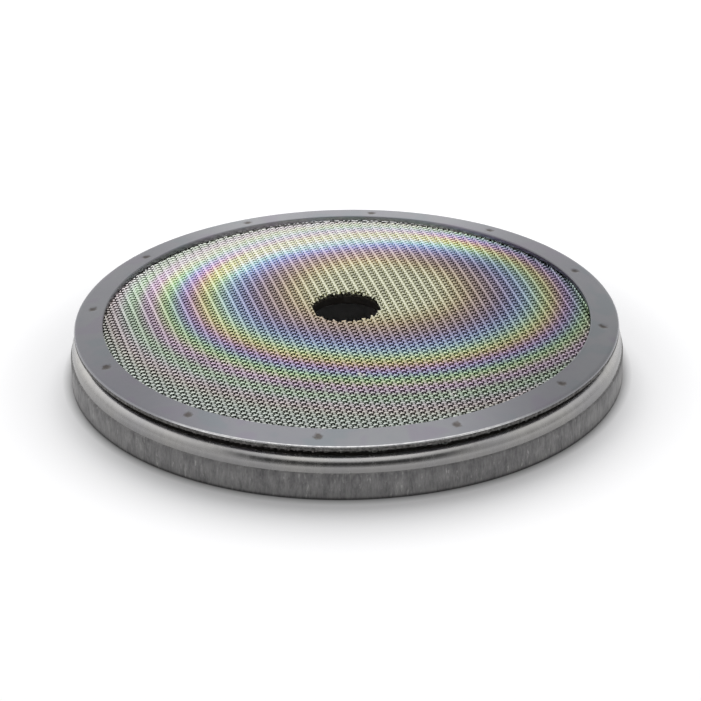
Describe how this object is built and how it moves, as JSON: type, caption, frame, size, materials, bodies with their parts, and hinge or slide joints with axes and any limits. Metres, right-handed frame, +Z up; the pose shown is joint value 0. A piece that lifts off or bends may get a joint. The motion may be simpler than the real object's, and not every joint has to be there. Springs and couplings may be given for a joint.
{
  "type": "espresso shower screen",
  "caption": "Domed espresso shower screen: a drawn steel dish, pierced plate under iridescent woven wire cloth, held by a spot welded ring, with a middle screw hole.",
  "frame": {"origin": "centre of the rim's lower edge, on the axis of the screw hole", "axes": "+Z up along the axis of the screw hole, out of the wire cloth; +X to the right seen from the front"},
  "size_m": [0.057, 0.057, 0.0074],
  "materials": {
    "drawn_steel": "smooth drawn stainless sheet, with a matt rim band scratched upright",
    "wire_cloth": "woven stainless wire with a rainbow surface film in rings about the middle",
    "ring_steel": "satin stainless sheet with small brown weld dents"
  },
  "bodies": {
    "root": {"base_pan": "drawn_steel", "filter_mesh": "wire_cloth", "retaining_ring": "ring_steel"}
  },
  "joints": []
}
